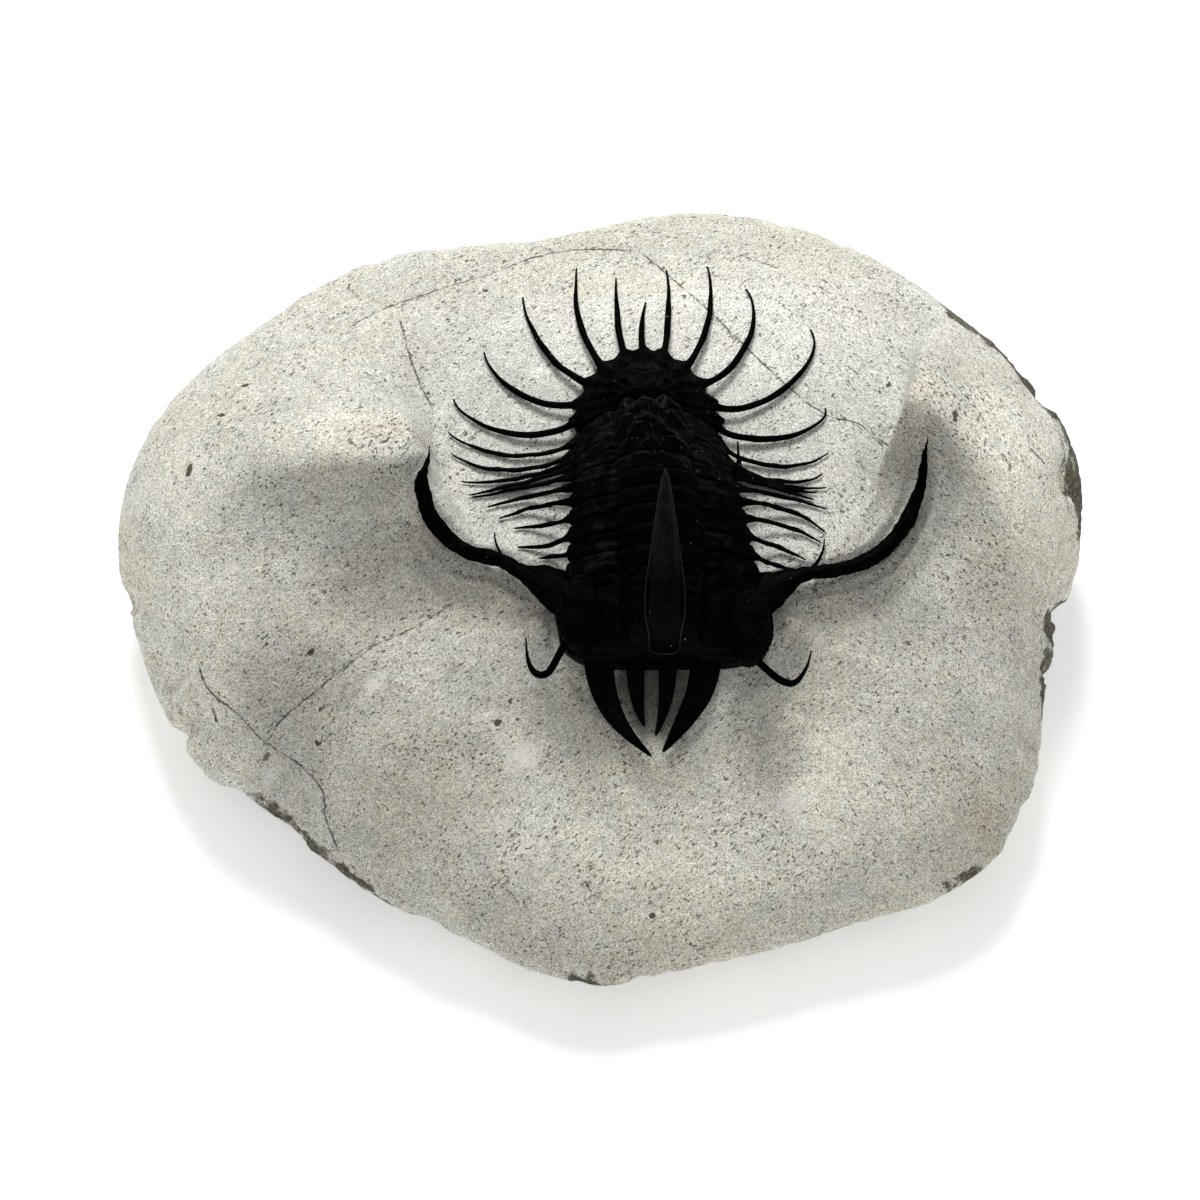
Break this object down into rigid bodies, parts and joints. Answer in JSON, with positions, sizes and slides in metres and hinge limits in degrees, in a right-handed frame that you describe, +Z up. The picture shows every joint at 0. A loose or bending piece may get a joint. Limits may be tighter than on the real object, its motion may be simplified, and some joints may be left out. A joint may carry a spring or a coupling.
{
  "type": "spiny trilobite fossil on limestone",
  "caption": "Spiny fossil trilobite with a pronged fork, tall horn and long curved spines, prepared in relief on a rounded limestone nodule that rests on a flat spot.",
  "frame": {"origin": "middle of the flat spot under the stone, on the surface it rests on", "axes": "+X to the right of the stone as seen from the head side, -Y the way the head points, +Z up"},
  "size_m": [0.1456, 0.1236, 0.0563],
  "materials": {
    "limestone": "matt, air-abraded",
    "fossil_shell": "glossy black calcite"
  },
  "bodies": {
    "root": {"limestone_matrix": "limestone", "cephalon": "fossil_shell", "thoracic_segment_01": "fossil_shell", "thoracic_segment_02": "fossil_shell", "thoracic_segment_03": "fossil_shell", "thoracic_segment_04": "fossil_shell", "thoracic_segment_05": "fossil_shell", "thoracic_segment_06": "fossil_shell", "thoracic_segment_07": "fossil_shell", "thoracic_segment_08": "fossil_shell", "thoracic_segment_09": "fossil_shell", "thoracic_segment_10": "fossil_shell", "thoracic_segment_11": "fossil_shell", "pygidium": "fossil_shell"}
  },
  "joints": []
}
